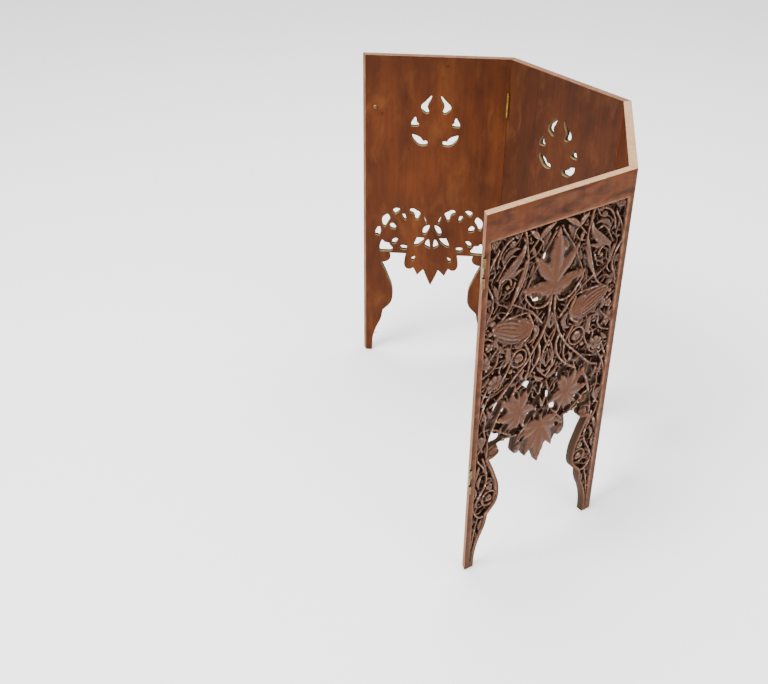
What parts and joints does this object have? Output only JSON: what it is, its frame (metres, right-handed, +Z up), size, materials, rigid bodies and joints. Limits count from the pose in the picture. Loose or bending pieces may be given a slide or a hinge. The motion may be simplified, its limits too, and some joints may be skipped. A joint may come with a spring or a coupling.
{
  "type": "folding quran stand",
  "caption": "Folding stand of carved and pierced walnut boards hinged edge to edge, opening to half an octagon to carry a book or tray.",
  "frame": {"origin": "bottom centre of the open stand's box, at floor level", "axes": "+Z up, +Y towards the middle corner, away from the open side, +X towards board a"},
  "size_m": [0.5863, 0.3184, 0.54],
  "materials": {
    "walnut": "oiled and rubbed, carved ground darker",
    "brass_hinges": "aged",
    "brass_screws": "aged, slotted heads",
    "pin_steel": "drawn wire",
    "blackened_steel": "dulled"
  },
  "bodies": {
    "board_c": {"panel_c": "walnut", "lower_leaf_cb_on_c": "brass_hinges", "lower_leaf_cb_on_c_screw_1": "brass_screws", "lower_leaf_cb_on_c_screw_2": "brass_screws", "lower_leaf_dc_on_c": "brass_hinges", "lower_leaf_dc_on_c_screw_1": "brass_screws", "lower_leaf_dc_on_c_screw_2": "brass_screws", "lower_pin_cb": "pin_steel", "lower_pin_dc": "pin_steel", "upper_leaf_cb_on_c": "brass_hinges", "upper_leaf_cb_on_c_screw_1": "brass_screws", "upper_leaf_cb_on_c_screw_2": "brass_screws", "upper_leaf_dc_on_c": "brass_hinges", "upper_leaf_dc_on_c_screw_1": "brass_screws", "upper_leaf_dc_on_c_screw_2": "brass_screws", "upper_pin_cb": "pin_steel", "upper_pin_dc": "pin_steel"},
    "board_b": {"panel_b": "walnut", "lower_leaf_ba_on_b": "brass_hinges", "lower_leaf_ba_on_b_screw_1": "brass_screws", "lower_leaf_ba_on_b_screw_2": "brass_screws", "lower_leaf_cb_on_b": "brass_hinges", "lower_leaf_cb_on_b_screw_1": "brass_screws", "lower_leaf_cb_on_b_screw_2": "brass_screws", "lower_pin_ba": "pin_steel", "upper_leaf_ba_on_b": "brass_hinges", "upper_leaf_ba_on_b_screw_1": "brass_screws", "upper_leaf_ba_on_b_screw_2": "brass_screws", "upper_leaf_cb_on_b": "brass_hinges", "upper_leaf_cb_on_b_screw_1": "brass_screws", "upper_leaf_cb_on_b_screw_2": "brass_screws", "upper_pin_ba": "pin_steel"},
    "board_a": {"panel_a": "walnut", "lower_half_hinge_a": "brass_hinges", "lower_half_hinge_a_screw_1": "brass_screws", "lower_half_hinge_a_screw_2": "brass_screws", "lower_leaf_ba_on_a": "brass_hinges", "lower_leaf_ba_on_a_screw_1": "brass_screws", "lower_leaf_ba_on_a_screw_2": "brass_screws", "upper_half_hinge_a": "brass_hinges", "upper_half_hinge_a_screw_1": "brass_screws", "upper_half_hinge_a_screw_2": "brass_screws", "upper_leaf_ba_on_a": "brass_hinges", "upper_leaf_ba_on_a_screw_1": "brass_screws", "upper_leaf_ba_on_a_screw_2": "brass_screws"},
    "board_d": {"panel_d": "walnut", "lower_leaf_dc_on_d": "brass_hinges", "lower_leaf_dc_on_d_screw_1": "brass_screws", "lower_leaf_dc_on_d_screw_2": "brass_screws", "repair_pin_d": "blackened_steel", "round_head_screw_d": "brass_screws", "upper_leaf_dc_on_d": "brass_hinges", "upper_leaf_dc_on_d_screw_1": "brass_screws", "upper_leaf_dc_on_d_screw_2": "brass_screws"}
  },
  "joints": [
    {"name": "cb_hinge", "type": "hinge", "parent": "board_c", "child": "board_b", "pos_m": [-0.0018, 0.15707, 0.468], "axis": [0, 0, 1], "range_deg": [0, 227]},
    {"name": "ba_hinge", "type": "hinge", "parent": "board_b", "child": "board_a", "pos_m": [0.20201, 0.05346, 0.468], "axis": [0, 0, -1], "range_deg": [0, 128.5]},
    {"name": "dc_hinge", "type": "hinge", "parent": "board_c", "child": "board_d", "pos_m": [-0.2056, 0.05346, 0.468], "axis": [0, 0, 1], "range_deg": [0, 133]}
  ]
}
